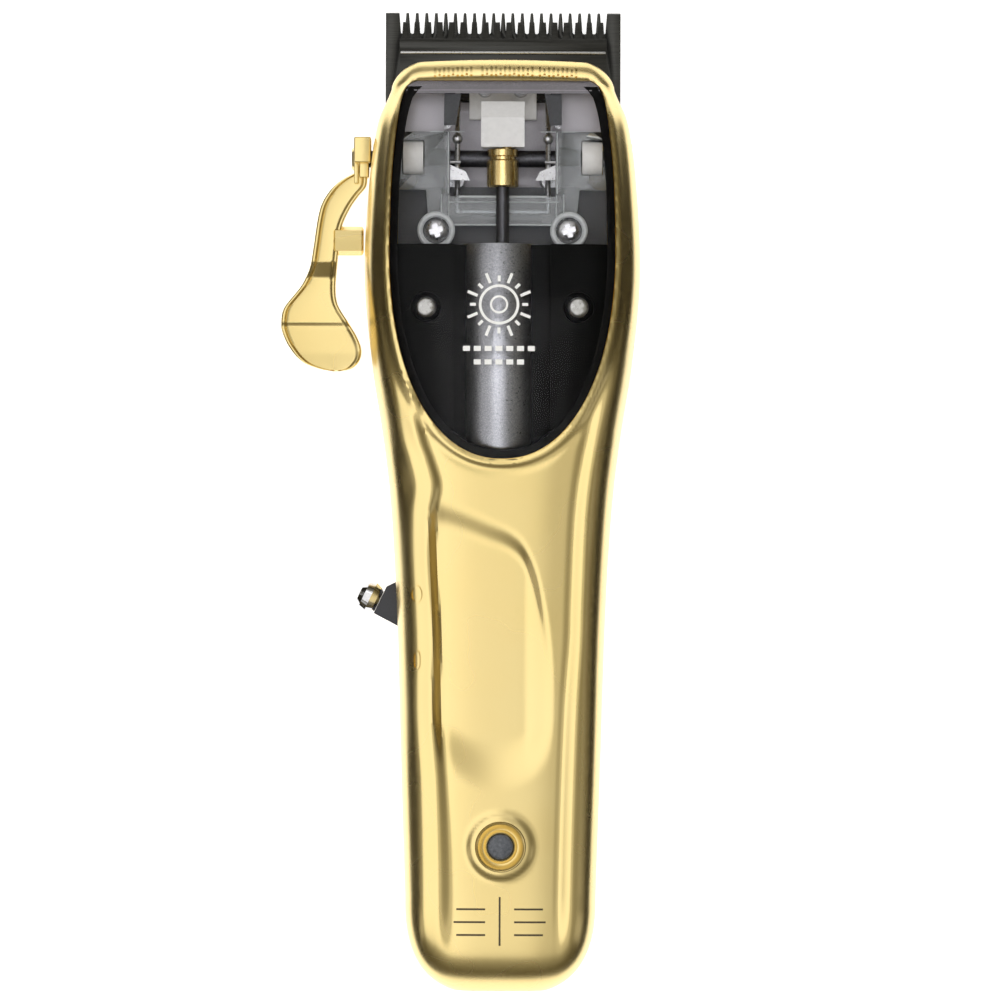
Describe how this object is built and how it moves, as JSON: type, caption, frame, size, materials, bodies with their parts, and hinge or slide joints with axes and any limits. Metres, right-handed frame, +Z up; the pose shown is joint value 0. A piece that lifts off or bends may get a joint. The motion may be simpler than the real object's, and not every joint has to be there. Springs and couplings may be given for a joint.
{
  "type": "hair clipper",
  "caption": "Cordless metal-bodied hair clipper with a toothed blade set, clear motor window, taper lever on the left side, side power toggle and tail charging inlet.",
  "frame": {"origin": "centre of the flat on the back that the clipper lies on, on its middle plane", "axes": "+Y from the tail towards the blade tips, +Z up through the front face, X across with the taper lever at -X"},
  "size_m": [0.0679, 0.1858, 0.0409],
  "materials": {
    "gold_metal": "satin gold plating on die-cast zinc",
    "clear_lid": "smoked clear acrylic",
    "lens": "frosted light pipe",
    "screw_steel": "turned steel",
    "spring_steel": "bright drawn wire",
    "grey_plastic": "moulded grey",
    "black_plastic": "moulded black",
    "motor_steel": "dark plated",
    "copper": "enamelled copper wire",
    "brass": "turned brass",
    "cell_sleeve": "shrink sleeve",
    "board": "solder resist",
    "white_plastic": "natural acetal",
    "chrome": "polished",
    "zinc": "cast zinc",
    "black_blade": "black coated steel",
    "clear_frame": "clear polycarbonate"
  },
  "bodies": {
    "housing": {"front_housing": "gold_metal", "back_housing": "gold_metal", "indicator_bezel": "gold_metal", "window_lid": "clear_lid", "indicator_lens": "lens", "lid_screws": "screw_steel", "housing_screws": "screw_steel", "motor_screws": "screw_steel", "board_screws": "screw_steel", "mount_screws": "screw_steel", "blade_screws": "screw_steel", "carriage_screws": "screw_steel", "toggle_pin": "screw_steel", "front_bearing": "screw_steel", "rear_bearing": "screw_steel", "stator_core": "screw_steel", "chassis": "grey_plastic", "motor_cover": "black_plastic", "motor_end_bell": "black_plastic", "charge_jack": "black_plastic", "switch_body": "black_plastic", "board_parts": "black_plastic", "motor_can": "motor_steel", "stator_windings": "copper", "shaft_bushes": "brass", "jack_pin": "brass", "battery_tabs": "brass", "battery_cell": "cell_sleeve", "circuit_board": "board", "motor_ribbon": "white_plastic", "indicator_led": "white_plastic", "blade_mount": "zinc", "fixed_blade": "black_blade"},
    "rotor": {"motor_shaft": "screw_steel", "rotor_magnet": "motor_steel", "eccentric": "brass"},
    "carriage": {"carriage": "clear_frame", "tension_spring": "spring_steel"},
    "cutter": {"cutter_blade": "black_blade", "drive_yoke": "white_plastic", "yoke_screws": "screw_steel"},
    "lever": {"lever_arm": "gold_metal", "lever_screw": "gold_metal", "lever_shaft": "screw_steel", "shaft_cams": "white_plastic", "detent_barrel": "gold_metal", "detent_spring": "spring_steel"},
    "plunger": {"detent_plunger": "gold_metal"},
    "toggle": {"toggle_paddle": "black_plastic", "toggle_knob": "chrome"}
  },
  "joints": [
    {"name": "rotor_spin", "type": "hinge", "parent": "housing", "child": "rotor", "pos_m": [0, 0.05, 0.0195], "axis": [0, 1, 0], "continuous": true},
    {"name": "taper_lever", "type": "hinge", "parent": "housing", "child": "lever", "pos_m": [0, 0.0671, 0.014], "axis": [-1, 0, 0], "range_deg": [0, 35]},
    {"name": "carriage_slide", "type": "slide", "parent": "housing", "child": "carriage", "axis": [0, 1, 0], "range_m": [0, 0.00093]},
    {"name": "cutter_slide", "type": "slide", "parent": "carriage", "child": "cutter", "axis": [1, 0, 0], "range_m": [-0.0008, 0.0008]},
    {"name": "power_toggle", "type": "hinge", "parent": "housing", "child": "toggle", "pos_m": [-0.0139, -0.0214, 0.018], "axis": [0, 0, 1], "range_deg": [0, 51]},
    {"name": "detent_plunge", "type": "slide", "parent": "lever", "child": "plunger", "axis": [1, 0, 0], "range_m": [-0.0004, 0.0002], "stiffness_N_per_m": 50}
  ],
  "couplings": [
    {"joint": "carriage_slide", "follows": "taper_lever", "m_per_rad": 0.0015}
  ]
}
